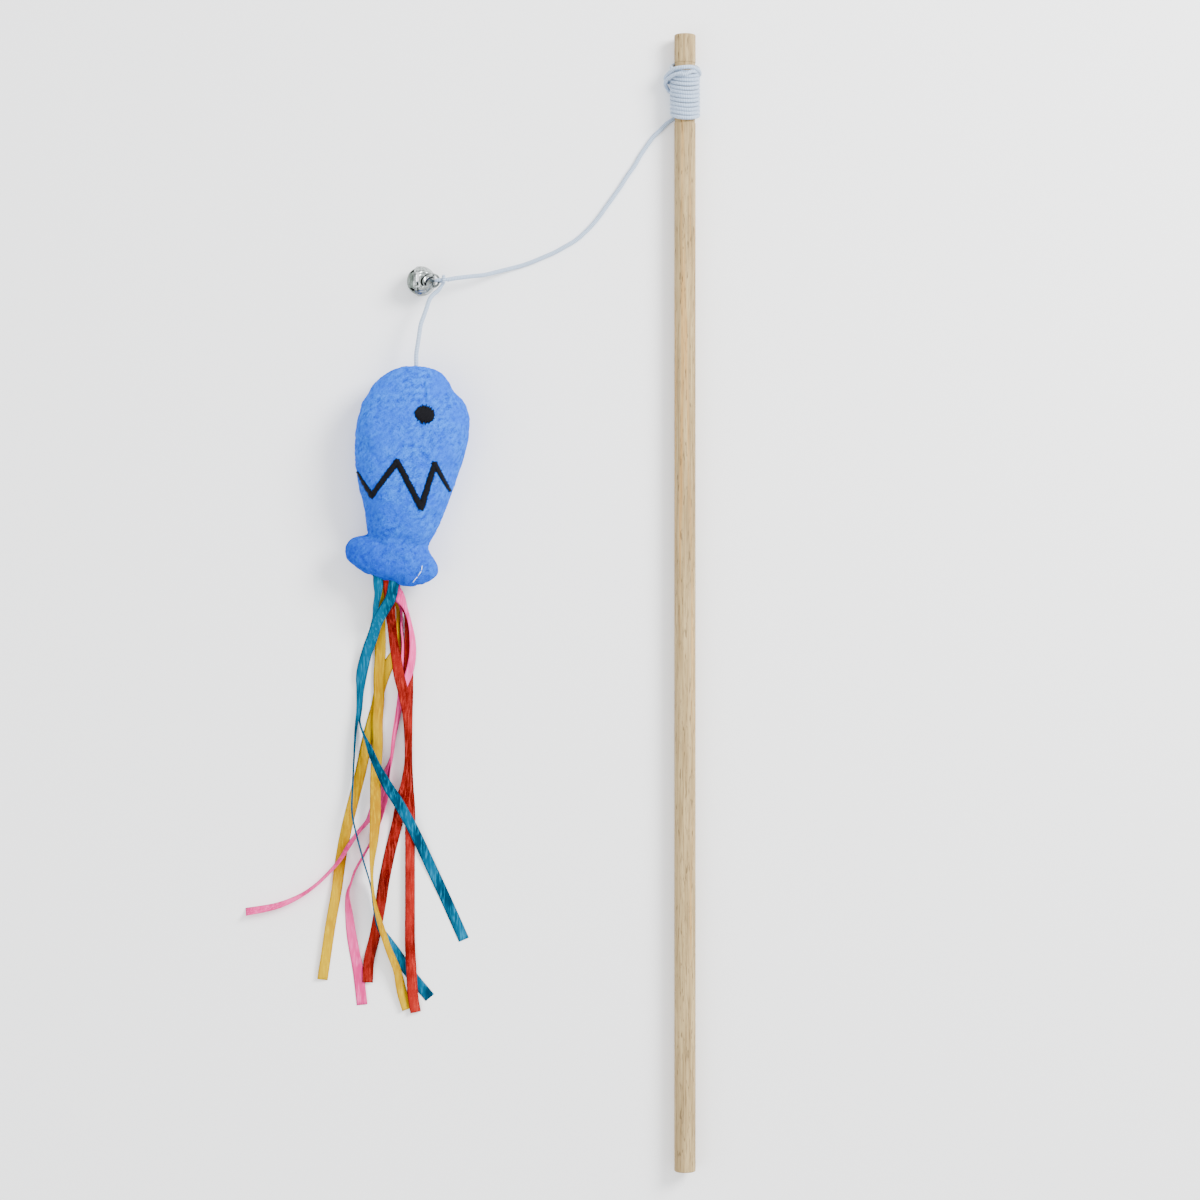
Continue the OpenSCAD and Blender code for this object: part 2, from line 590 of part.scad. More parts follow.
module ribbon_yellow_mid() {
    color(yellow) ribbon(yellow_mid_route);
}

module ribbon_yellow_left() {
    color(yellow) ribbon(yellow_left_route);
}

module ribbon_red_left() {
    color(red) ribbon(red_left_route);
}

module ribbon_red_right() {
    color(red) ribbon(red_right_route);
}

module ribbon_pink_left() {
    color(pink) ribbon(pink_left_route);
}

module ribbon_pink_low() {
    color(pink) ribbon(pink_low_route);
}

rod();
cord_winding();
cord_upper();
cord_knot();
cord_lower();
bell_upper_shell();
bell_lower_shell();
bell_loop();
bell_pellet();
fish_upper_panel();
fish_lower_panel();
fish_body_filling();
fish_tail_filling();
fish_eye();
fish_zigzag();
fish_closing_thread();
ribbon_teal_long();
ribbon_teal_wide();
ribbon_yellow_mid();
ribbon_yellow_left();
ribbon_red_left();
ribbon_red_right();
ribbon_pink_left();
ribbon_pink_low();
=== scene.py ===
import math
import random

import bpy
import numpy as np
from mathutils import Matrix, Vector
from mathutils.bvhtree import BVHTree


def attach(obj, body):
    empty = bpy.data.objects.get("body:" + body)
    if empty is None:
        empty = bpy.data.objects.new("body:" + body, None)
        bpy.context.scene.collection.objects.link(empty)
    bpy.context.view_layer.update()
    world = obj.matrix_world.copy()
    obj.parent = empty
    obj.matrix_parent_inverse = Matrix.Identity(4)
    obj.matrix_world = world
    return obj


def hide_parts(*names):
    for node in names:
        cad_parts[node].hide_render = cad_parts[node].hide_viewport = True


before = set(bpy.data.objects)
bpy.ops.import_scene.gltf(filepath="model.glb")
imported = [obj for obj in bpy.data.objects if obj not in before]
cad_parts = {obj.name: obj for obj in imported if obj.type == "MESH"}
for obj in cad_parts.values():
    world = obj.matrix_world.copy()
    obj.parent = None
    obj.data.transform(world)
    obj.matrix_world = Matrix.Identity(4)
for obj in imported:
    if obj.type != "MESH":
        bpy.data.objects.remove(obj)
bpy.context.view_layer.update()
mm = 0.001
up = np.array([0.0, 0.0, 1.0])


# Shapes

def unit(v):
    return v / np.linalg.norm(v)


def tangents(line):
    ahead = np.gradient(line, axis=0)
    return ahead / np.linalg.norm(ahead, axis=1)[:, None]


def smoothRows(rows, steps):
    rows = np.asarray(rows, float)
    last = len(rows) - 1
    made = []
    for i in range(last):
        p0, p1, p2, p3 = rows[max(i - 1, 0)], rows[i], rows[i + 1], rows[min(i + 2, last)]
        for t in np.arange(steps) / steps:
            made.append(0.5 * (2 * p1 + (p2 - p0) * t + (2 * p0 - 5 * p1 + 4 * p2 - p3) * t ** 2
                               + (3 * p1 - p0 - 3 * p2 + p3) * t ** 3))
    return np.array(made + [rows[last]])


def lengthAlong(line):
    return np.concatenate([[0], np.cumsum(np.linalg.norm(np.diff(line, axis=0), axis=1))])


# Rings of points become a closed skin; u runs round a ring and v along the piece, in metres
def skin(name, rings, look, along=None, around=None, sheet=False):
    rows, cols = rings.shape[:2]
    spans = cols - 1 if sheet else cols
    along = lengthAlong(rings.mean(axis=1)) if along is None else along
    around = np.arange(spans + 1) / spans if around is None else around
    faces, uvs = [], []
    for i in range(rows - 1):
        for j in range(spans):
            k = (j + 1) % cols
            faces.append((i * cols + j, i * cols + k, (i + 1) * cols + k, (i + 1) * cols + j))
            uvs += [(around[j], along[i]), (around[j + 1], along[i]),
                    (around[j + 1], along[i + 1]), (around[j], along[i + 1])]
    if not sheet:
        faces += [tuple(range(cols))[::-1], tuple(range((rows - 1) * cols, rows * cols))]
        uvs += [(around[j], along[0]) for j in range(cols)][::-1]
        uvs += [(around[j], along[-1]) for j in range(cols)]
    mesh = bpy.data.meshes.new(name)
    mesh.from_pydata(rings.reshape(-1, 3).tolist(), [], faces)
    layer = mesh.uv_layers.new(name="UVMap")
    layer.data.foreach_set("uv", np.array(uvs).ravel())
    mesh.polygons.foreach_set("use_smooth", [True] * len(mesh.polygons))
    mesh.materials.append(look)
    mesh.update()
    piece = bpy.data.objects.new(name, mesh)
    bpy.context.collection.objects.link(piece)
    return piece


def tubeRings(line, radii, sides, first=up):
    side, rings = first, []
    angles = np.arange(sides) * math.tau / sides
    for centre, ahead, radius in zip(line, tangents(line), radii):
        side = unit(side - ahead * side.dot(ahead))
        other = np.cross(ahead, side)
        spokes = np.outer(np.cos(angles), side) + np.outer(np.sin(angles), other)
        rings.append(centre + radius * spokes)
    return np.array(rings)


# A tube whose two ends are rounded off beyond the line
def roundedTube(name, line, radius, look, sides=12, first=up):
    bends = np.radians([15, 35, 60, 85])
    caps = [np.array([tip + unit(tip - inner) * radius * math.sin(b) for b in bends])
            for tip, inner in ((line[0], line[1]), (line[-1], line[-2]))]
    narrow = radius * np.cos(bends)
    line = np.vstack([caps[0][::-1], line, caps[1]])
    radii = np.concatenate([narrow[::-1], np.full(len(line) - 2 * len(bends), radius), narrow])
    return skin(name, tubeRings(line, radii, sides, first), look)


def ridden(piece, body, slot, *replaced):
    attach(piece, body)
    if replaced:
        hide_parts(*replaced)
    return piece


# Materials

class Wire:
    def __init__(self, look, socket):
        self.look, self.socket = look, socket

    def calc(self, operation, *others):
        return self.look.node("ShaderNodeMath", {"operation": operation},
                              dict(enumerate((self,) + others)))

    def __add__(self, other):
        return self.calc("ADD", other)

    def __mul__(self, other):
        return self.calc("MULTIPLY", other)

    def __sub__(self, other):
        return self.calc("SUBTRACT", other)

    def __rsub__(self, other):
        return self.look.node("ShaderNodeMath", {"operation": "SUBTRACT"}, {0: other, 1: self})

    def wave(self):
        return self.calc("SINE")

    def ramp(self, low, high):
        return self.look.node("ShaderNodeMapRange", {"interpolation_type": "SMOOTHSTEP"},
                              {"Value": self, "From Min": low, "From Max": high})

    __radd__ = __add__
    __rmul__ = __mul__


class Look:
    def __init__(self, name, **constants):
        self.material = bpy.data.materials.new(name)
        self.material.use_nodes = True
        self.tree = self.material.node_tree
        self.shader = self.tree.nodes["Principled BSDF"]
        for socket, value in constants.items():
            self.shader.inputs[socket.replace("_", " ")].default_value = value

    def node(self, kind, settings, sockets, output=0):
        made = self.tree.nodes.new(kind)
        for key, value in settings.items():
            setattr(made, key, value)
        for key, value in sockets.items():
            self.feed(made.inputs[key], value)
        return Wire(self, made.outputs[output])

    def feed(self, socket, value):
        if isinstance(value, Wire):
            self.tree.links.new(value.socket, socket)
        else:
            socket.default_value = value

    def place(self, stretch=(1, 1, 1)):
        here = self.node("ShaderNodeTexCoord", {}, {}, "Object")
        return self.node("ShaderNodeVectorMath", {"operation": "MULTIPLY"}, {0: here, 1: stretch})

    def uv(self):
        here = self.node("ShaderNodeTexCoord", {}, {}, "UV")
        parts = self.tree.nodes.new("ShaderNodeSeparateXYZ")
        self.tree.links.new(here.socket, parts.inputs[0])
        return Wire(self, parts.outputs[0]), Wire(self, parts.outputs[1])

    def cloud(self, at, scale, detail=3, roughness=0.5):
        return self.node("ShaderNodeTexNoise", {}, {"Vector": at, "Scale": scale, "Detail": detail,
                                                    "Roughness": roughness})

    def mix(self, factor, a, b):
        return self.node("ShaderNodeMix", {"data_type": "RGBA"},
                         {0: factor, 6: a if isinstance(a, Wire) else (*a, 1),
                          7: b if isinstance(b, Wire) else (*b, 1)}, 2)

    def finish(self, colour=None, roughness=None, height=None, depth=0.0001, strength=1.0, **others):
        if colour is not None:
            self.feed(self.shader.inputs["Base Color"], colour)
        if roughness is not None:
            self.feed(self.shader.inputs["Roughness"], roughness)
        if height is not None:
            bump = self.node("ShaderNodeBump", {},
                             {"Height": height, "Distance": depth, "Strength": strength})
            self.feed(self.shader.inputs["Normal"], bump)
        for socket, value in others.items():
            self.feed(self.shader.inputs[socket.replace("_", " ")], value)
        return self.material


# Camera, floor and light

photo = {"centre": (44.8, 1.06), "width": 422.4, "lens": 85, "sensor": 36, "scaleAt": 4.8}


def addCamera():
    lens = bpy.data.cameras.new("camera")
    lens.lens, lens.sensor_width, lens.clip_start = photo["lens"], photo["sensor"], 0.01
    camera = bpy.data.objects.new("camera", lens)
    height = photo["width"] * photo["lens"] / photo["sensor"] + photo["scaleAt"]
    camera.location = (photo["centre"][0] * mm, photo["centre"][1] * mm, height * mm)
    bpy.context.collection.objects.link(camera)
    bpy.context.scene.camera = camera


studio = {
    "floor": (0.97, 0.97, 0.97), "floorSize": 3.0, "sky": (0.97, 0.985, 1.0),
    "skyStrength": {"From Min": -0.05, "From Max": 0.55, "To Min": 0.7, "To Max": 1.75},
    "lamps": [((0.75, 0.5, 0.7), 0.45, 26.0), ((-0.75, -0.35, 0.9), 0.9, 6.0)],
}


def addStudio():
    look = Look("floorPaper", Roughness=0.9)
    tint = look.cloud(look.place(), 3)
    half = studio["floorSize"] / 2
    corners = np.array([[[-half, -half, 0], [half, -half, 0]], [[-half, half, 0], [half, half, 0]]])
    paper = look.finish(look.mix(tint, studio["floor"], (0.94, 0.94, 0.94)))
    skin("floor", corners, paper, sheet=True)
    world = bpy.data.worlds.new("studio")
    world.use_nodes = True
    nodes, links = world.node_tree.nodes, world.node_tree.links
    nodes["Background"].inputs["Color"].default_value = (*studio["sky"], 1)
    way, parts = nodes.new("ShaderNodeTexCoord"), nodes.new("ShaderNodeSeparateXYZ")
    rise = nodes.new("ShaderNodeMapRange")
    for socket, value in studio["skyStrength"].items():
        rise.inputs[socket].default_value = value
    links.new(way.outputs["Generated"], parts.inputs[0])
    links.new(parts.outputs["Z"], rise.inputs["Value"])
    links.new(rise.outputs[0], nodes["Background"].inputs["Strength"])
    bpy.context.scene.world = world
    for n, (place, size, power) in enumerate(studio["lamps"]):
        lamp = bpy.data.lights.new(f"lamp{n}", "AREA")
        lamp.size, lamp.energy = size, power
        holder = bpy.data.objects.new(f"lamp{n}", lamp)
        holder.location = place
        holder.rotation_euler = Vector(place).to_track_quat("Z", "Y").to_euler()
        bpy.context.collection.objects.link(holder)


addCamera()
addStudio()
print("camera and studio set")


# Rod

beech = {"pale": (0.45, 0.325, 0.155), "mid": (0.30, 0.205, 0.09), "brown": (0.15, 0.095, 0.04),
         "fleck": (0.075, 0.045, 0.02), "honey": (0.54, 0.27, 0.055)}


def beechLook():
    look = Look("beech", Roughness=0.7, Specular_IOR_Level=0.25)
    grain = look.cloud(look.place((1, 0.03, 1)), 1500, 4, 0.6)
    broad = look.cloud(look.place((1, 0.06, 1)), 240, 2)
    streak = look.cloud(look.place((1, 0.02, 1)), 420, 2)
    fleck = look.cloud(look.place((1, 0.16, 1)), 1500, 2).ramp(0.6, 0.7)
    pore = look.cloud(look.place((1, 0.05, 1)), 3200, 2).ramp(0.56, 0.70)
    colour = look.mix(grain.ramp(0.35, 0.65), beech["pale"], beech["mid"])
    colour = look.mix(broad.ramp(0.45, 0.7) * 0.4, colour, beech["brown"])
    colour = look.mix(streak.ramp(0.55, 0.7) * 0.5, colour, beech["honey"])
    colour = look.mix(fleck * 0.65, colour, beech["fleck"])
    colour = look.mix(pore * 0.5, colour, beech["fleck"])
    return look.finish(colour, height=grain + pore * -0.6 + fleck * -0.4, depth=0.00012, strength=0.6)


def dress(node, material):
    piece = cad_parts[node]
    piece.data.materials.clear()
    piece.data.materials.append(material)


dress("rod", beechLook())
print("rod dressed")


# Elastic cord

elastic = {
    "radius": 0.75, "woundRadius": 0.68, "white": (0.50, 0.62, 0.78), "shade": (0.10, 0.16, 0.28),
    "turnRadius": 4.72, "pitch": 1.47, "turns": 12, "top": 188.9, "lean": 0.42,
    "leave": 20, "leaveBend": 4, "leaveDrop": 0.4, "waver": 0.07, "waverRate": 0.0131,
    "climb": 0.35, "climbDrop": 1.6,
    # Each row is the angle round the rod, the radius, and how far the hitch has come down
    "hitch": [[0, 5.1, 2.9], [22, 5.5, 2.5], [45, 6, 2], [65, 6.1, 1.3], [90, 6.2, 1.4],
              [115, 6.2, 1.6], [130, 6.25, 1.9], [145, 6.35, 2.6], [160, 6.6, 3.3], [180, 6.9, 4.3],
              [200, 6.35, 5.1], [220, 5.7, 5.4], [250, 5, 5.2], [300, 4.7, 4.2], [360, 4.8, 2.6],
              [390, 5, 2.7], [410, 5.4, 2.6], [425, 5.9, 2.7], [440, 6.15, 3.3], [452, 6.2, 3.9],
              [465, 6.2, 3.6], [480, 6.2, 3.7], [494, 6.25, 4], [507, 6.35, 4.5], [520, 6.55, 4.9],
              [535, 6.9, 5.8], [557, 6.7, 7], [570, 6.4, 8.1], [590, 5.6, 9], [620, 4.8, 9.4]],
    # The knot's loop round the bell's wire, its hitch round the cord, its share of the cord's
    # radius, how fast the cord is full again, and how far the end goes into the nose
    "loop": 1.02, "knotHitch": 1.1, "tight": 0.8, "easing": 4, "tuck": 1.7,
}
rodAxis = np.array([74.7, 0, 4.845])
upperRoute = np.array([
    [68.5, 169.5, 0.75], [66, 167, 0.75], [63.5, 164.5, 0.75], [61, 161, 0.75], [59, 158, 0.75],
    [57, 154.5, 0.75], [54.5, 151, 0.75], [52, 147, 0.75], [49.5, 143.5, 0.75], [47, 140, 0.75],
    [44.5, 136.5, 0.75], [42, 133.5, 0.75], [39, 130.5, 0.75], [36, 128, 0.75], [32.5, 126, 0.75],
    [29, 124, 0.75], [25.5, 122.5, 0.75], [22, 121, 0.75], [18, 119.5, 0.75], [14.5, 118.5, 1],
    [11, 117.5, 2], [7.5, 116.5, 3], [4, 115.5, 4.5], [0.5, 115, 5.5], [-3, 114.5, 6.5],
    [-6, 114, 7.5], [-8.5, 113.5, 8]])
lowerRoute = np.array([
    [-11.5, 110, 7.5], [-13.5, 108.5, 7.5], [-15, 106.5, 8], [-16, 103.5, 8.5], [-17, 100.5, 9],
    [-18, 97.5, 9.5], [-18.5, 94, 10], [-19, 90.5, 10.5], [-19.5, 87, 10.5], [-19.5, 83.5, 10.5]])
loopTop = np.array([-11.7, 113.2, 7.432])


def braidLook():
    look = Look("braidedElastic", Roughness=0.75, Sheen_Weight=0.35, Sheen_Roughness=0.4)
    u, v = look.uv()
    carriers, lay = 5 * math.tau, math.tau / (1.1 * mm)
    cross = (u * carriers + v * lay).wave() * (u * carriers - v * lay).wave()
    fuzz = look.cloud(look.place(), 5000, 3)
    height = cross * 0.5 + fuzz * 0.35
    # Painted shade: the braid's low places take the darker shade colour, its raised strands the white
    colour = look.mix((height + 0.3).ramp(0.0, 0.75), elastic["shade"], elastic["white"])
    return look.finish(colour, height=height, depth=0.00012, strength=0.7)


braid = braidLook()


def onRod(radius, degrees, y):
    angle = math.radians(degrees)
    return [rodAxis[0] + radius * math.cos(angle), y - elastic["lean"] * radius * math.sin(angle),
            rodAxis[2] + radius * math.sin(angle)]


# The winding: a free end at the floor, the turns, and a hitch that crosses the front
def winding():
    e = elastic
    low, lean = e["top"] - e["turns"] * e["pitch"], e["lean"] * e["turnRadius"]
    start = upperRoute[0]
    besideRod = rodAxis[0] - e["leaveBend"] * math.sin(math.radians(e["leave"]))
    corner = np.array([besideRod, low + lean - e["leaveDrop"], e["radius"]])
    leave = [start + (corner - start) * s for s in (0, 0.33, 0.66, 1)]
    turns = [onRod(e["turnRadius"], a - 90,
                   low + e["pitch"] * a / 360 + e["waver"] * math.sin(a * e["waverRate"]))
             for a in np.arange(20, 360 * e["turns"] + 1, 10)]
    climb = [onRod(e["turnRadius"] + e["climb"] * (a / 90) ** 2, a - 90,
                   e["top"] - e["climbDrop"] * a / 90)
             for a in range(15, 76, 15)]
    over = [onRod(radius, degrees,
                  e["top"] - down + e["lean"] * radius * math.sin(math.radians(degrees)))
            for degrees, radius, down in smoothRows(e["hitch"], 3)]
    line = smoothRows(np.array(leave + turns + climb + over) * mm, 2)
    rings = tubeRings(line, np.full(len(line), e["woundRadius"] * mm), 12)
    rings[:, :, 2] = np.maximum(rings[:, :, 2], 0.0)
    return ridden(skin("windingTurns", rings, braid), "wand", "elastic", "cord_winding")


def freeCord():
    line = smoothRows(upperRoute * mm, 5)
    piece = roundedTube("upperElastic", line, elastic["radius"] * mm, braid, 14)
    ridden(piece, "leader", "elastic", "cord_upper")


# The knot goes over the bell's loop, down through it and back, and round the cord
def knotAndLowerCord():
    ring, hitch = elastic["loop"], elastic["knotHitch"]
    knot = [loopTop + [2.9, 0.3, 0.75], loopTop + [2.0, 0.28, 0.85], loopTop + [1.0, 0.18, 0.98]]
    knot += [loopTop + [ring * math.cos(a), 0.3 * (180 - math.degrees(a)) / 240, ring * math.sin(a)]
             for a in np.radians(range(90, 301, 15))]
    knot += [loopTop + [1.65 + 0.12 * math.sin(a), 0.3 + hitch * math.cos(a),
                        0.75 + hitch * math.sin(a)]
             for a in np.radians(range(-90, 181, 15))]
    knot += [loopTop + [1.2, -1.4, 0.25]]
    lower = smoothRows(np.vstack([lowerRoute, lowerRoute[-1] - [0, elastic["tuck"], 0]]) * mm, 6)
    line = np.vstack([smoothRows(np.array(knot) * mm, 2), lower[1:]])
    line = smoothRows(line[::2], 2)
    radii = np.full(len(line), elastic["radius"] * mm)
    done = lengthAlong(line)
    tight = lengthAlong(smoothRows(np.array(knot) * mm, 2))[-1]
    radii *= np.interp(done - tight, [0, elastic["easing"] * mm], [elastic["tight"], 1])
    piece = skin("knotAndLowerElastic", tubeRings(line, radii, 14), braid)
    ridden(piece, "dropper", "elastic", "cord_knot", "cord_lower")


winding()
freeCord()
knotAndLowerCord()
print("elastic wound and laid")


# Bell

nickel = {
    "clean": (0.44, 0.47, 0.46), "worn": (0.12, 0.135, 0.13),
    "dull": (0.20, 0.235, 0.215), "tarnish": (0.07, 0.09, 0.075), "bright": 0.12, "matt": 0.25,
    "middle": np.array([-18.26, 113.2, 5.3]), "radius": 5.3, "axis": (0.951, 0, 0.309),
    # Painted reflections: two dark rings round the loop, and a painted highlight and two dark
    # spots beside the seam: height on the axis, curve and the side where it turns, half width,
    # the two ends along y, and the tint
    "paintedReflections": [(0.40, 1.25, -0.15, 0.07, -0.44, 0.43, (0.006, 0.009, 0.008)),
              (0.59, 0.8, -0.45, 0.065, -0.40, 0.24, (0.003, 0.004, 0.008)),
              (0.15, 0, 0, 0.10, -0.12, 0.5, (0.95, 0.96, 0.96)),
              (0.13, 0, 0, 0.07, -0.38, -0.16, (0.03, 0.035, 0.03)),
              (0.10, 0, 0, 0.07, -0.75, -0.5, (0.05, 0.06, 0.055))],
}


def nickelLook(name, clean, worn, roughness, paintedReflections=()):
    look = Look(name, Metallic=1.0)
    dents = look.cloud(look.place(), 300, 2)
    wear = look.cloud(look.place(), 1500, 4)
    colour = look.mix(dents.ramp(0.5, 0.6) * 0.8, look.mix(wear.ramp(0.4, 0.7), clean, worn), worn)
    height = dents + wear * 0.08
    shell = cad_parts["bell_upper_shell"]
    middle = shell.matrix_world.inverted() @ Vector(nickel["middle"] * mm)
    out = look.node("ShaderNodeVectorMath", {"operation": "SUBTRACT"}, {0: look.place(), 1: middle})
    along, side, rise = (
        look.node("ShaderNodeVectorMath", {"operation": "DOT_PRODUCT"}, {0: out, 1: way}, 1)
        * (1 / (nickel["radius"] * mm)) for way in (nickel["axis"], (0, 1, 0), (0, 0, 1)))
    # Each painted reflection or highlight is a band round the axis, kept to the side facing up, and
    # dents the bump a little
    for rest, curve, turn, half, low, high, tint in paintedReflections:
        off = (along + dents * 0.1 - 0.05 - rest - (side - turn) * (side - turn) * curve) * (1 / half)
        away = (side - (low + high) / 2) * (2 / (high - low))
        reflectionMask = (1 - (off * off).ramp(0.4, 1.2)) * (1 - (away * away).ramp(0.6, 1.3))
        reflectionMask = reflectionMask * rise.ramp(0.1, 0.4)
        colour = look.mix(reflectionMask, colour, tint)
        height = height - reflectionMask * 0.15
    return look.finish(colour, wear * 0.25 + roughness, height, 0.0016, 0.9)


brightNickel = nickelLook("brightNickel", nickel["clean"], nickel["worn"], nickel["bright"],
                          nickel["paintedReflections"])
dullNickel = nickelLook("dullNickel", nickel["dull"], nickel["tarnish"], nickel["matt"])
for part in ("bell_upper_shell", "bell_loop"):
    dress(part, brightNickel)
for part in ("bell_lower_shell", "bell_pellet"):
    dress(part, dullNickel)
print("bell dressed")


# Fish

fish = {
    "nose": np.array([-19.5, 82.835, 10.5]), "length": 77, "width": 40.5, "thickness": 22,
    "rings": 58, "sides": 64, "fullness": 0.88, "skin": 1.0, "nap": 0.13, "creaseRise": 2.5,
    # The cloth grows, is filled at ten times its size, and may move by "most" in mm
    "growth": -0.035, "pressure": 4.0, "simScale": 10, "frames": 20, "most": 0.8,
    # The filling lies inside the skins, and leaves out the first and the last rings
    "inset": 1.9, "noseRings": 8, "tailRings": 4,
    "left": [(-0.05, 0.005), (-0.18, 0.02), (-0.31, 0.06), (-0.4, 0.11), (-0.475, 0.18),
             (-0.52, 0.27), (-0.535, 0.375), (-0.515, 0.51), (-0.465, 0.625), (-0.43, 0.73),
             (-0.425, 0.765), (-0.53, 0.775), (-0.59, 0.8), (-0.61, 0.835), (-0.59, 0.88),
             (-0.485, 0.925), (-0.32, 0.965), (-0.18, 0.99)],
    "right": [(0.05, 0.005), (0.18, 0.027), (0.26, 0.06), (0.33, 0.115), (0.425, 0.18),
              (0.46, 0.26), (0.435, 0.375), (0.36, 0.505), (0.27, 0.635), (0.167, 0.76),
              (0.11, 0.81), (0.11, 0.83), (0.12, 0.85), (0.165, 0.885), (0.19, 0.92),
              (0.165, 0.955), (0.07, 0.985), (-0.03, 1)],
    "high": [0.2, 0.44, 0.62, 0.76, 0.88, 0.98, 1, 0.95, 0.82, 0.64, 0.52, 0.51, 0.52, 0.52, 0.48,
             0.4, 0.28, 0.14],
    # Start and end as shares of the outline, depth and width in mm
    "creases": [((0.076, 0.08), (0.09, 0.17), 0.8, 0.55), ((-0.43, 0.768), (-0.28, 0.815), 1.1, 1.3),
                ((0.165, 0.79), (0.05, 0.83), 0.9, 1.4), ((-0.30, 0.86), (-0.05, 0.885), 0.35, 1.6),
                ((0.06, 0.905), (-0.045, 0.99), 0.35, 0.8), ((-0.15, 0.78), (0.0, 0.80), 0.3, 1.5)],
}


def onFish(share):
    return fish["nose"][:2] + np.array([share[0] * fish["width"], -share[1] * fish["length"]])


def fishRings():
    rows = np.hstack([fish["left"], fish["right"], np.array(fish["high"])[:, None]])
    nose, tail = [0.0, 0.0, 0.0, 0.0, 0.08], [-0.1, 1.0, -0.1, 1.0, 0.05]
    rows = smoothRows(np.vstack([nose, rows, tail]), 8)
    step = np.linalg.norm(np.diff(rows * [1, 2, 1, 2, 0.6], axis=0), axis=1)
    done = np.concatenate([[0], np.cumsum(step)])
    rows = np.array([[np.interp(s, done, rows[:, k]) for k in range(5)]
                     for s in np.linspace(0, done[-1], fish["rings"] + 2)])[1:-1]
    angles = np.arange(fish["sides"]) * math.tau / fish["sides"]
    across = np.sign(np.cos(angles)) * np.abs(np.cos(angles)) ** fish["fullness"]
    rise = np.sign(np.sin(angles)) * np.abs(np.sin(angles)) ** fish["fullness"]
    rings = []
    for row in rows:
        left, right = onFish(row[0:2]), onFish(row[2:4])
        flat = (left + right) / 2 + np.outer(across, (right - left) / 2)
        rings.append(np.column_stack([flat, fish["nose"][2] + rise * row[4] * fish["thickness"] / 2]))
    return np.array(rings)


# The stuffing's pressure fills the two panels out while their seam stays put
def stuffed(rings):
    piece = skin("fishBlank", rings * fish["simScale"] * mm, plushLook())
    cols, half = fish["sides"], fish["sides"] // 2
    seam = [i * cols + j for i in range(len(rings)) for j in (0, half)]
    seam += list(range(cols)) + list(range((len(rings) - 1) * cols, len(rings) * cols))
    piece.vertex_groups.new(name="seam").add(seam, 1.0, "REPLACE")
    cloth = piece.modifiers.new("Cloth", "CLOTH").settings
    cloth.quality, cloth.mass, cloth.bending_stiffness = 6, 0.25, 2.0
    cloth.tension_stiffness = cloth.compression_stiffness = 18
    cloth.use_pressure, cloth.uniform_pressure_force = True, fish["pressure"]
    cloth.shrink_min = cloth.shrink_max = fish["growth"]
    cloth.vertex_group_mass = "seam"
    cloth.effector_weights.gravity = 0
    for number in range(1, fish["frames"] + 1):
        bpy.context.scene.frame_set(number)
    filled = piece.evaluated_get(bpy.context.evaluated_depsgraph_get()).data
    points = np.zeros(len(filled.vertices) * 3)
    filled.vertices.foreach_get("co", points)
    bpy.context.scene.frame_set(1)
    bpy.data.objects.remove(piece)
    points = points.reshape(rings.shape) / fish["simScale"] / mm
    moved = points - rings
    far = np.linalg.norm(moved, axis=2, keepdims=True)
    print("fish filled, moved at most", round(float(far.max()), 2), "mm")
    return rings + moved * np.minimum(1, fish["most"] / np.maximum(far, 1e-9))


def creased(points):
    for start, end, depth, width in fish["creases"]:
        a, b = onFish(start), onFish(end)
        share = np.clip(((points[:, :2] - a) @ (b - a)) / ((b - a) @ (b - a)), 0, 1)
        away = np.linalg.norm(points[:, :2] - (a + share[:, None] * (b - a)), axis=1)
        aboveSeam = np.clip((points[:, 2] - fish["nose"][2]) / fish["creaseRise"], 0, 1)
        points[:, 2] -= depth * np.exp(-(away / width) ** 2) * aboveSeam
    return points


def smoothNoise(points, scale, seed, waves=40):
    rng = np.random.default_rng(seed)
    total = np.zeros(len(points))
    for _ in range(waves):
        way = rng.normal(size=3)
        total += np.sin(points @ way * scale + rng.uniform(0, math.tau))
    return total / math.sqrt(waves)


# Nap tones; deep is also the painted shade on the left side, the tail and the nap's dips
plush = {"light": (0.015, 0.225, 1.0), "mid": (0.003, 0.105, 0.80), "deep": (0.0, 0.025, 0.42),
         "shadeWay": (-0.7, -0.7, 0)}


def plushLook():
    look = Look("bluePlush", Roughness=0.95, Sheen_Weight=0.15, Sheen_Roughness=0.3,
                Sheen_Tint=(0.05, 0.30, 1.0, 1), Specular_IOR_Level=0.05)
    slanted = look.node("ShaderNodeMapping", {"vector_type": "TEXTURE"},
                        {"Vector": look.place(), "Rotation": (0, 0, -0.85), "Scale": (1, 1.9, 1)})
    tuft = look.cloud(slanted, 800, 3, 0.6)
    fibre = look.cloud(slanted, 3600, 2, 0.6)
    patch = look.cloud(look.place(), 110, 3)
    # Painted shade: darker towards the left side and the tail, away from the light
    paintedShadeSide = look.node("ShaderNodeVectorMath", {"operation": "DOT_PRODUCT"},
                         {0: look.place(), 1: plush["shadeWay"]}, 1)
    shade = tuft * 0.65 + fibre * 0.35
    # The nap's colour follows its bumps, deep in the dips and light on the tufts: random tone and
    # painted shade
    colour = look.mix(shade.ramp(0.3, 0.66), plush["deep"], plush["light"])
    colour = look.mix(patch.ramp(0.35, 0.65) * 0.5 + 0.1, colour, plush["mid"])
    colour = look.mix(paintedShadeSide.ramp(-0.02, 0.03) * 0.7, colour, plush["deep"])
    return look.finish(colour, height=shade, depth=0.0016, strength=1.0)


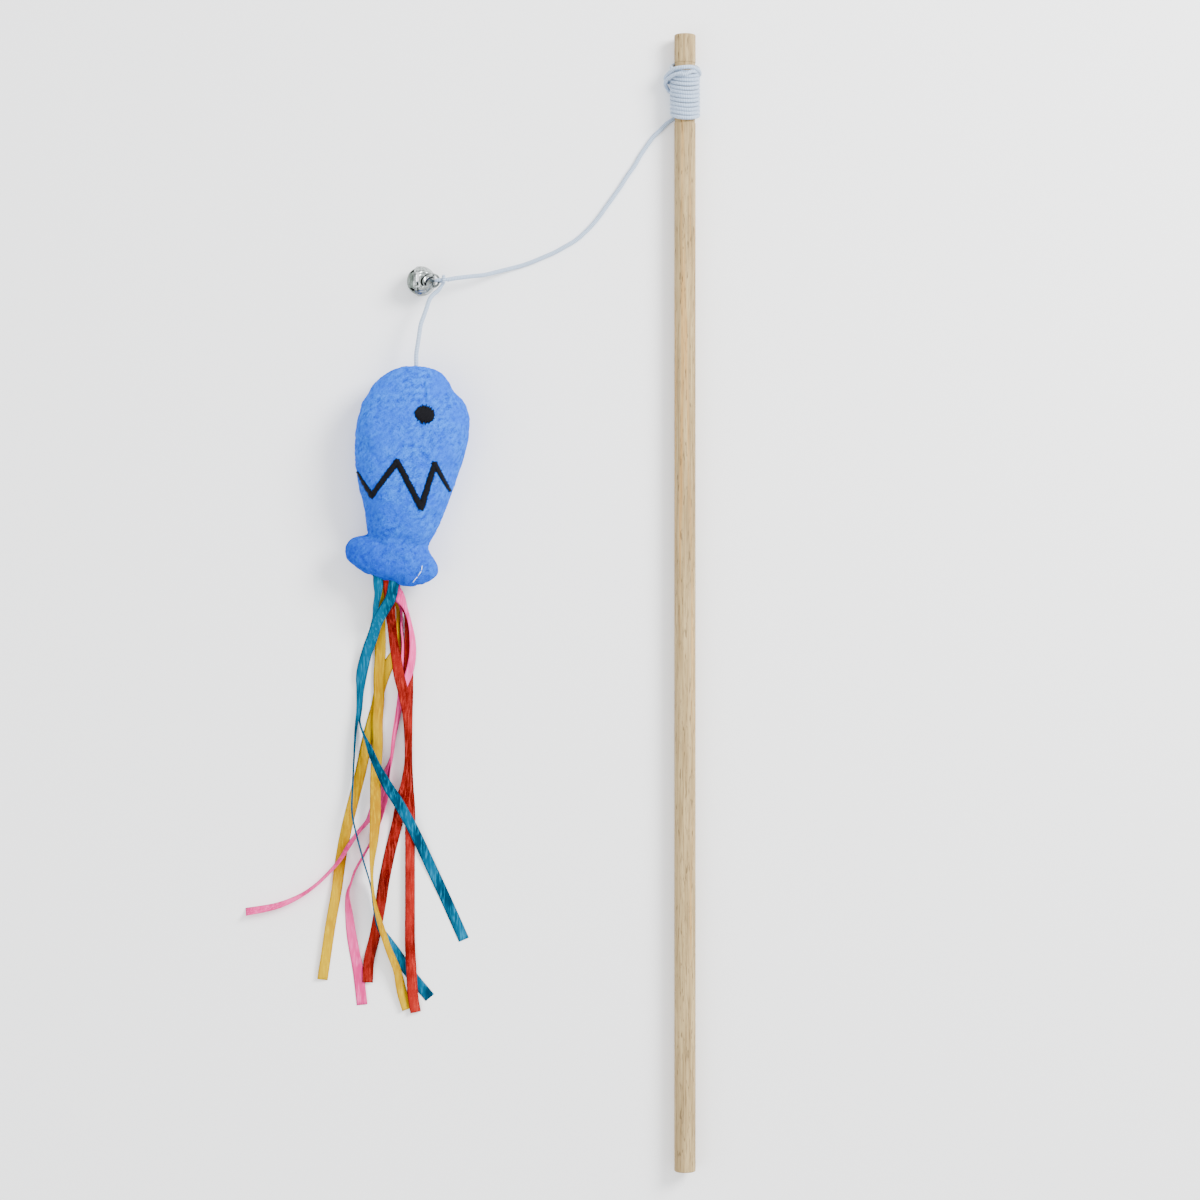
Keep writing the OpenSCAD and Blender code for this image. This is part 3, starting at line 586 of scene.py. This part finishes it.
def fishPanels():
    rings = fishRings()
    rings = stuffed(rings)
    piece = skin("fishSkin", rings * mm, plushLook())
    cols, half = fish["sides"], fish["sides"] // 2
    for face in piece.data.polygons[:-2]:
        face.material_index = 0 if face.index % cols < half else 1
    piece.modifiers.new("Smooth", "SUBSURF").levels = 2
    fine = piece.evaluated_get(bpy.context.evaluated_depsgraph_get()).to_mesh()
    points = np.array([v.co for v in fine.vertices]) / mm
    normals = np.array([v.normal for v in fine.vertices])
    slanted = points @ np.array([[0.77, 0.32, 0], [0.64, -0.39, 0], [0, 0, 1]])
    nap = smoothNoise(slanted, 3.2, 3) * 0.6 + smoothNoise(slanted, 1.4, 5) * 0.4
    points = creased(points + normals * (nap * fish["nap"])[:, None])
    points[:, 2] = np.maximum(points[:, 2], 0.0)
    faces = [tuple(f.vertices) for f in fine.polygons]
    upper = [f.material_index == 0 for f in fine.polygons]
    made = []
    for name, wanted, node in (("fishUpperSkin", True, "fish_upper_panel"),
                               ("fishLowerSkin", False, "fish_lower_panel")):
        mine = [f for f, isUpper in zip(faces, upper) if isUpper == wanted]
        used = sorted({v for f in mine for v in f})
        index = {v: n for n, v in enumerate(used)}
        mesh = bpy.data.meshes.new(name)
        mesh.from_pydata((points[used] * mm).tolist(), [], [[index[v] for v in f] for f in mine])
        mesh.polygons.foreach_set("use_smooth", [True] * len(mesh.polygons))
        mesh.materials.append(piece.data.materials[0])
        panel = bpy.data.objects.new(name, mesh)
        bpy.context.collection.objects.link(panel)
        thick = panel.modifiers.new("Thickness", "SOLIDIFY")
        thick.thickness, thick.offset = fish["skin"] * mm, -1
        ridden(panel, "fish", "plush", node)
        made.append(panel)
    bpy.data.objects.remove(piece)
    return made, rings


def fibreLook():
    look = Look("fibreFilling", Roughness=1.0)
    tuft = look.cloud(look.place(), 900, 4)
    colour = look.mix(tuft, (0.80, 0.80, 0.78), (0.95, 0.95, 0.93))
    return look.finish(colour, height=tuft, depth=0.0004)


def filling(rings):
    middle = rings.mean(axis=1, keepdims=True)
    away = rings - middle
    far = np.linalg.norm(away, axis=2, keepdims=True)
    inside = middle + away * np.maximum(0.1, 1 - fish["inset"] / np.maximum(far, 0.1))
    piece = skin("fishFilling", inside[fish["noseRings"]:-fish["tailRings"]] * mm, fibreLook())
    ridden(piece, "fish", "filling", "fish_body_filling", "fish_tail_filling")


skins, fishShape = fishPanels()
filling(fishShape)
print("fish sewn")


# Embroidery: each stitch is a thread laid over the plush, its ends pulled in

stitching = {"thread": 0.21, "pitch": 0.33, "arch": 0.3, "sink": 0.35,
             "zigzagWidth": 2.45,
             "zigzag": [(-0.5, 0.487), (-0.37, 0.592), (-0.145, 0.44), (0.055, 0.646),
                        (0.175, 0.451), (0.29, 0.563)],
             "fullness": [0.5, 0.95, 1, 1.1, 0.95, 0.55], "eye": (0.09, 0.228), "eyeRadius": 3.4,
             "closing": [(0.058, 0.905), (0.052, 0.93), (0.02, 0.955), (-0.03, 0.985)],
             "closingThread": 0.17}


def threadLook(name, colour, shade):
    look = Look(name, Roughness=0.8, Specular_IOR_Level=0.15)
    u, v = look.uv()
    ply = (u * math.tau * 2 + v * (math.tau / (0.5 * mm))).wave()
    # Painted shade: the grooves between the plies take the darker shade colour
    return look.finish(look.mix(ply * 0.5 + 0.5, shade, colour), height=ply, depth=0.00004)


blackThread = threadLook("blackThread", (0.004, 0.004, 0.007), (0.001, 0.001, 0.002))
whiteThread = threadLook("whiteThread", (0.75, 0.86, 1.0), (0.45, 0.60, 0.90))


def surfaceFinder(piece):
    mesh = piece.data
    tree = BVHTree.FromPolygons([v.co[:] for v in mesh.vertices],
                                [f.vertices[:] for f in mesh.polygons])

    def height(x, y):
        hit = tree.ray_cast(Vector((x * mm, y * mm, 0.05)), Vector((0, 0, -1)))[0]
        return hit.z / mm if hit else fish["nose"][2]
    return height


plushHeight = surfaceFinder(skins[0])


def stitchRings(a, b, thread, sides=6, steps=5):
    line = []
    for s in np.linspace(0, 1, steps):
        x, y = a + (b - a) * s
        arch = stitching["arch"] * math.sin(math.pi * s) - stitching["sink"] * (abs(2 * s - 1) ** 4)
        line.append([x, y, plushHeight(x, y) + thread * 0.6 + arch])
    return tubeRings(np.array(line), thread * np.array([0.5] + [1] * (steps - 2) + [0.5]), sides)


def sewn(name, stitches, material, slot, node):
    parts = [skin(f"{name}{n}", stitchRings(np.array(a), np.array(b), t) * mm, material)
             for n, (a, b, t) in enumerate(stitches)]
    piece = parts[0]
    with bpy.context.temp_override(active_object=piece, selected_editable_objects=parts):
        bpy.ops.object.join()
    piece.name = piece.data.name = name
    return ridden(piece, "fish", slot, node)


def zigzagStitches(rng):
    corners, made = [onFish(s) for s in stitching["zigzag"]], []
    fullness = stitching["fullness"]
    for n, (a, b) in enumerate(zip(corners, corners[1:])):
        way, far = unit(b - a), np.linalg.norm(b - a)
        slant = unit(np.array([-way[1], way[0]]) + way * 0.25)
        for s in np.arange(-0.6, far + 0.6, stitching["pitch"]):
            full = np.interp(s / far, [0, 1], fullness[n:n + 2])
            here, half = a + way * s, stitching["zigzagWidth"] / 2 * full
            made.append((here - slant * (half + rng.uniform(-0.15, 0.2)),
                         here + slant * (half + rng.uniform(-0.15, 0.2)),
                         stitching["thread"] * rng.uniform(0.9, 1.15)))
    return made


def eyeStitches(rng):
    centre, radius, made = onFish(stitching["eye"]), stitching["eyeRadius"], []
    way = unit(np.array([0.35, 1.0]))
    across = np.array([way[1], -way[0]])
    for s in np.arange(-radius, radius + 0.01, stitching["pitch"]):
        half = math.sqrt(max(radius ** 2 - s ** 2, 0.3))
        here = centre + across * s
        made.append((here - way * (half + rng.uniform(-0.15, 0.45)),
                     here + way * (half + rng.uniform(-0.15, 0.45)),
                     stitching["thread"] * rng.uniform(0.95, 1.2)))
    for angle in np.arange(0, math.tau, math.tau / 13):
        turned = angle + rng.uniform(-0.15, 0.15)
        spoke = np.array([math.cos(turned), math.sin(turned)])
        made.append((centre + spoke * radius * 0.5, centre + spoke * (radius + rng.uniform(0.1, 0.5)),
                     stitching["thread"] * 1.05))
    return made


def closingStitches():
    points = [onFish(s) for s in stitching["closing"]]
    return [(a, b, stitching["closingThread"]) for a, b in zip(points, points[1:])]


rng = random.Random(7)
sewn("zigzagStitching", zigzagStitches(rng), blackThread, "black_thread", "fish_zigzag")
sewn("eyeStitching", eyeStitches(rng), blackThread, "black_thread", "fish_eye")
sewn("closingStitch", closingStitches(), whiteThread, "elastic", "fish_closing_thread")
print("fish embroidered")


# Ribbons

ribbon = {"width": 3.8, "thickness": 0.16, "columns": 7, "curl": 0.12, "bow": 0.3,
          "layer": 0.42, "drape": 9, "drapeStep": 2.6, "floorGap": 0.05,
          "seam": (-29.32, 7.22), "seamAngle": -19, "seat": 0.3, "seamLift": 9.45, "tuck": 1.6}
# Each row is x and y from the seam, the roll in degrees, and the lift in layers and in widths
ribbonRoutes = {
    "ribbon_teal_long": [
        [2, -0.5, 0, 5, 0], [1, -5, 0, 5, 0.15], [-1, -8.5, 0, 5, 0.4], [-4, -13.5, 0, 5, 0.6],
        [-6, -19, 0, 4, 0.6], [-8.5, -25.5, 0, 3, 0.3], [-10, -31.5, -10, 3, 0.2],
        [-10.5, -37.5, -42, 2, 0.1], [-11, -44, -60, 1, 0.1], [-12, -51.5, -75, 1, 0],
        [-12.5, -61, -82, 1, 0], [-13, -72, -82, 1, 0.15], [-13, -80.5, -82, 0, 0.8],
        [-11.5, -87.5, -82, 0, 1.15], [-9, -97, -82, 0, 1.15], [-6.5, -106.5, -85, 1, 0.3],
        [-5.5, -114.5, -90, 2, 0], [-4, -120.5, -110, 2, 0], [-0.5, -126.5, -135, 1, 0],
        [2.5, -131.5, -170, 0, 0], [7, -138, -180, 0, 0], [14, -146.5, -180, 0, 0]],
    "ribbon_teal_wide": [
        [-3.5, 1, -10, 4, 0], [-3.5, -3.5, -45, 4, 0], [-4.5, -8, -55, 3, 0],
        [-5, -12.5, -50, 1, 0], [-6.5, -18.5, -30, 0, 0], [-8.5, -25, 0, 0, 0],
        [-10, -32, -15, 0, 0], [-10.5, -38, -45, 0, 0], [-10.5, -44, -65, 0, 0],
        [-10.5, -49, -80, 1, 0], [-9, -53.5, -75, 2, 0.1], [-6.5, -59.5, -50, 3, 0.4],
        [-4, -65, -40, 2, 0.8], [-0.5, -71.5, -15, 2, 0.95], [3.5, -78, 0, 4, 0.5],
        [8.5, -87.5, 0, 3, 0.1], [14, -99.5, 0, 1, 0], [20, -112.5, 0, 0, 0], [26, -126, 0, 0, 0]],
    "ribbon_yellow_mid": [
        [-2, 0.8, 0, 3, 0], [-2, -4, 5, 3, 0], [-3, -8, 10, 2, 0], [-3.5, -12.5, 5, 2, 0],
        [-3.5, -17.5, 0, 2, 0], [-3.5, -24.5, 0, 2, 0], [-4, -32.5, 0, 2, 0], [-4, -41, 0, 2, 0],
        [-4.5, -49, 0, 2, 0], [-4.5, -57.5, 0, 2, 0], [-5, -67, 0, 1, 0.5], [-5, -76, 0, 1, 1],
        [-5, -83.5, 15, 1, 1.05], [-5.5, -91.5, 45, 1, 1.05], [-6, -98, 70, 1, 1.05],
        [-6, -105, 85, 1, 1.1], [-5, -112.5, 80, 1, 1.1], [-3, -120, 65, 1, 1.05],
        [-0.5, -128.5, 60, 1, 0.5], [2.5, -136.5, 50, 1, 0.1], [4, -144, 30, 0, 0],
        [6, -150.5, 20, 0, 0]],
    "ribbon_yellow_left": [
        [2, -0.5, 0, 0, 0], [2.5, -3.5, 10, 0, 0], [3, -7, 55, 0, 0], [3, -11, 70, 0, 0],
        [3, -16, 70, 0, 0], [3, -20.5, 55, 0, 0], [2, -24.5, 15, 0, 0], [-0.5, -28.5, -5, 0, 0],
        [-2.5, -33.5, 0, 0, 0], [-4, -38.5, 0, 0, 0], [-5, -43.5, 0, 0, 0], [-6.5, -49, 0, 0, 0],
        [-8.5, -57, 0, 0, 0], [-10.5, -66.5, 0, 0, 0], [-13, -76.5, 0, 0, 0],
        [-15.5, -86.5, 0, 0, 0], [-17.5, -97, 0, 0, 0], [-19, -108.5, 20, 0, 0],
        [-21, -120, 25, 0, 0], [-22.5, -130, 25, 0, 0], [-24, -140, 20, 0, 0]],
    "ribbon_red_left": [
        [0, 0, 0, 4, 0], [0.5, -5, 0, 4, 0.1], [0.5, -10, -20, 4, 0.3], [1, -15, -30, 3, 0.8],
        [1.5, -20.5, -30, 3, 0.8], [2.5, -26.5, -20, 3, 0.9], [3.5, -32.5, 0, 3, 1.2],
        [5, -38.5, 20, 3, 1.1], [6, -46, 45, 3, 0.4], [6.5, -54.5, 50, 3, 0.1],
        [6.5, -63, 50, 4, 0], [5.5, -70.5, 40, 4, 0.2], [4, -76.5, 15, 3, 0.3],
        [2.5, -84.5, 10, 1, 0], [0, -94.5, 0, 0, 0], [-2, -104, 0, 0, 0], [-3.5, -113.5, 0, 0, 0],
        [-5.5, -124.5, 0, 0, 0], [-7.5, -133, 0, 2, 0], [-8, -141, 0, 2, 0]],
    "ribbon_red_right": [
        [2.5, -1, 0, 2, 0], [3.5, -4, 10, 2, 0], [5, -7.5, 55, 1, 0], [6, -11.5, 65, 0, 0],
        [6.5, -17, 50, 0, 0], [6.5, -24.5, 40, 0, 0], [6.5, -31.5, 35, 0, 0],
        [6.5, -38.5, 35, 0, 0], [6.5, -46, 45, 0, 0], [6.5, -54.5, 50, 0, 0], [6.5, -63, 50, 0, 0],
        [6.5, -71.5, 30, 0, 0], [7, -80.5, 20, 0, 0], [7, -91.5, 30, 0, 0], [7, -103, 30, 0, 0],
        [7, -115, 30, 0, 0], [7, -126.5, 25, 1, 0], [7.5, -136, 20, 2, 0], [8, -145, 15, 2, 0],
        [9, -151.5, 10, 2, 0]],
    "ribbon_pink_left": [
        [1.5, -0.5, 0, 1, 0], [2.5, -3.5, 12, 1, 0], [4, -7, 60, 1, 0], [4, -11, 85, 0, 0],
        [4, -16, 88, 0, 0], [4.5, -21, 85, 0, 0], [4.5, -26.5, 75, 0, 0], [4, -32.5, 70, 0, 0],
        [3.5, -39.5, 70, 0, 0], [2.5, -46, 75, 0, 0], [1, -54, 85, 0, 0], [0, -61.5, 95, 0, 0],
        [-2, -68, 120, 0, 0], [-3.5, -74.5, 145, 0, 0], [-6, -80, 135, 0, 0], [-8, -84, 115, 0, 0],
        [-11, -87.5, 110, 0, 0], [-14.5, -92.5, 115, 2, 0], [-18, -98, 110, 2, 0],
        [-23, -103.5, 105, 0, 0], [-27.5, -107.5, 105, 0, 0], [-33, -111, 110, 0, 0],
        [-40.5, -114, 120, 0, 0], [-51, -116, 130, 0, 0]],
    "ribbon_pink_low": [
        [2.5, -1, 0, 3, 0], [3.5, -4, 5, 3, 0], [5.5, -8, 65, 2, 0], [7, -13.5, 75, 1, 0],
        [8, -20, 62, 1, 0.1], [8, -25.5, 55, 1, 0.1], [7, -31, 50, 1, 0.25], [5, -36.5, 55, 1, 0.5],
        [4, -41, 60, 0, 0.6], [3, -47, 75, 0, 0.1], [1.5, -54.5, 80, 0, 0], [0.5, -62, 90, 0, 0],
        [-1, -68.5, 120, 0, 0], [-2, -75, 140, 0, 0], [-3.5, -81.5, 130, 0, 0],
        [-5, -87.5, 110, 0, 0], [-7.5, -92.5, 100, 0, 0], [-10, -97, 100, 0, 0],
        [-12.5, -101.5, 100, 0, 0], [-14, -106, 100, 0, 0], [-15, -110, 115, 0, 0],
        [-14.5, -117, 140, 0, 0], [-13.5, -125.5, 160, 0, 0], [-11.5, -136.5, 170, 0, 0],
        [-10, -149, 175, 0, 0]],
}
# Each satin's face colour, and the shine and deep colours used for its painted sheen and shade and
# its darker selvedge
satins = {
    "teal": {"face": (0.003, 0.10, 0.195), "shine": (0.012, 0.26, 0.45), "deep": (0.0, 0.03, 0.065)},
    "yellow": {"face": (0.49, 0.30, 0.0), "shine": (0.70, 0.47, 0.0), "deep": (0.38, 0.18, 0.0)},
    "red": {"face": (0.29, 0.012, 0.009), "shine": (0.52, 0.05, 0.035), "deep": (0.08, 0.001, 0.001),
            "glitter": True},
    "pink": {"face": (0.90, 0.085, 0.33), "shine": (1.0, 0.18, 0.48), "deep": (0.62, 0.025, 0.18)},
}


def satinLook(name, face, shine, deep, glitter=False):
    look = Look(name + "Satin", Specular_IOR_Level=0, Sheen_Weight=0.25, Sheen_Roughness=0.35,
                Sheen_Tint=(*shine, 1))
    u, v = look.uv()
    weft = (v * (math.tau / (0.24 * mm))).wave()
    warp = (u * (math.tau / (0.16 * mm))).wave()
    selvedge = (u * u * 1e6).ramp(2.3, 3.2)
    lustre = look.cloud(look.place((1, 0.35, 1)), 160, 3)
    streak = look.cloud(look.place((1, 0.12, 1)), 1600, 2)
    # Painted sheen and shade: lustre patches run from the deep colour to the face colour, and streaks
    # brighten to the shine colour
    colour = look.mix(lustre.ramp(0.35, 0.62), deep, face)
    colour = look.mix(streak.ramp(0.45, 0.8) * 0.7, colour, shine)
    colour = look.mix(selvedge * 0.5, colour, deep)
    height = weft * 0.5 + warp * 0.25 + streak * 0.5 + selvedge * 1.5
    roughness = 0.36 + streak * 0.12
    if glitter:
        spark = look.cloud(look.place(), 3600, 2, 0.7)
        # Glitter: the flecks are bumped and shinier, with painted glints in the shine colour and
        # painted dark between them in the deep colour
        colour = look.mix(spark.ramp(0.56, 0.68) * 0.55, colour, shine)
        colour = look.mix((1 - spark).ramp(0.56, 0.7) * 0.6, colour, deep)
        height = height + spark * 1.6
        roughness = spark * -0.25 + 0.55
    return look.finish(colour, roughness, height, 0.00008, 0.6)


satinMaterials = {name: satinLook(name, **colours) for name, colours in satins.items()}


def ribbonRings(route):
    r = ribbon
    tucked = [route[0][0], route[0][1] + r["tuck"], *route[0][2:]]
    rows = smoothRows([tucked] + route, 6)
    line = rows[:, :2] + [r["seam"][0], r["seam"][1] - r["seat"]]
    ahead = tangents(line)
    level = np.column_stack([ahead[:, 1], -ahead[:, 0], np.zeros(len(rows))])
    seam = math.radians(r["seamAngle"])
    atSeam = np.array([-math.cos(seam), -math.sin(seam), 0])
    ease = np.clip(np.arange(len(rows)) / 6 - 1, 0, 1)[:, None]
    out = atSeam * (1 - ease) + level * ease
    out /= np.linalg.norm(out, axis=1)[:, None]
    roll = np.radians(rows[:, 2])[:, None]
    across = np.cos(roll) * out + np.sin(roll) * up
    face = np.cos(roll) * up - np.sin(roll) * out
    fallen = np.clip(-rows[:, 1] / (r["drape"] + r["drapeStep"] * route[0][3]), 0, 1)
    lift = (r["floorGap"] + r["seamLift"] * (1 + np.cos(math.pi * fallen)) / 2
            + np.maximum(rows[:, 3], 0) * r["layer"] + np.maximum(rows[:, 4], 0) * r["width"])
    half = r["width"] / 2
    rise = half * np.abs(np.sin(roll[:, 0])) + r["thickness"] / 2 * np.abs(np.cos(roll[:, 0]))
    middle = np.column_stack([line, lift + rise])
    spread = np.linspace(-1, 1, r["columns"])
    # The more a ribbon stands on its edge, the more it bows
    bowed = face * (r["curl"] + r["bow"] * np.sin(roll) ** 2)
    camber = 1 - spread ** 2
    thick = face * r["thickness"] / 2
    top = [middle + across * half * s + bowed * c + thick for s, c in zip(spread, camber)]
    under = [middle + across * half * s + bowed * c - thick for s, c in zip(spread, camber)]
    rings = np.array(top[::-1] + under).transpose(1, 0, 2)
    rings[:, :, 2] = np.maximum(rings[:, :, 2], 0.0)
    return rings, middle, half * spread


def addRibbon(node, route):
    rings, middle, spread = ribbonRings(route)
    colour = node.split("_")[1]
    around = np.concatenate([spread[::-1], spread, spread[-1:]]) * mm
    name = "satin" + "".join(word.title() for word in node.split("_")[1:])
    piece = skin(name, rings * mm, satinMaterials[colour], around=around)
    ridden(piece, "tassel", f"satin_{colour}", node)
    line = middle * mm


for node, route in ribbonRoutes.items():
    addRibbon(node, route)
print("ribbons laid")
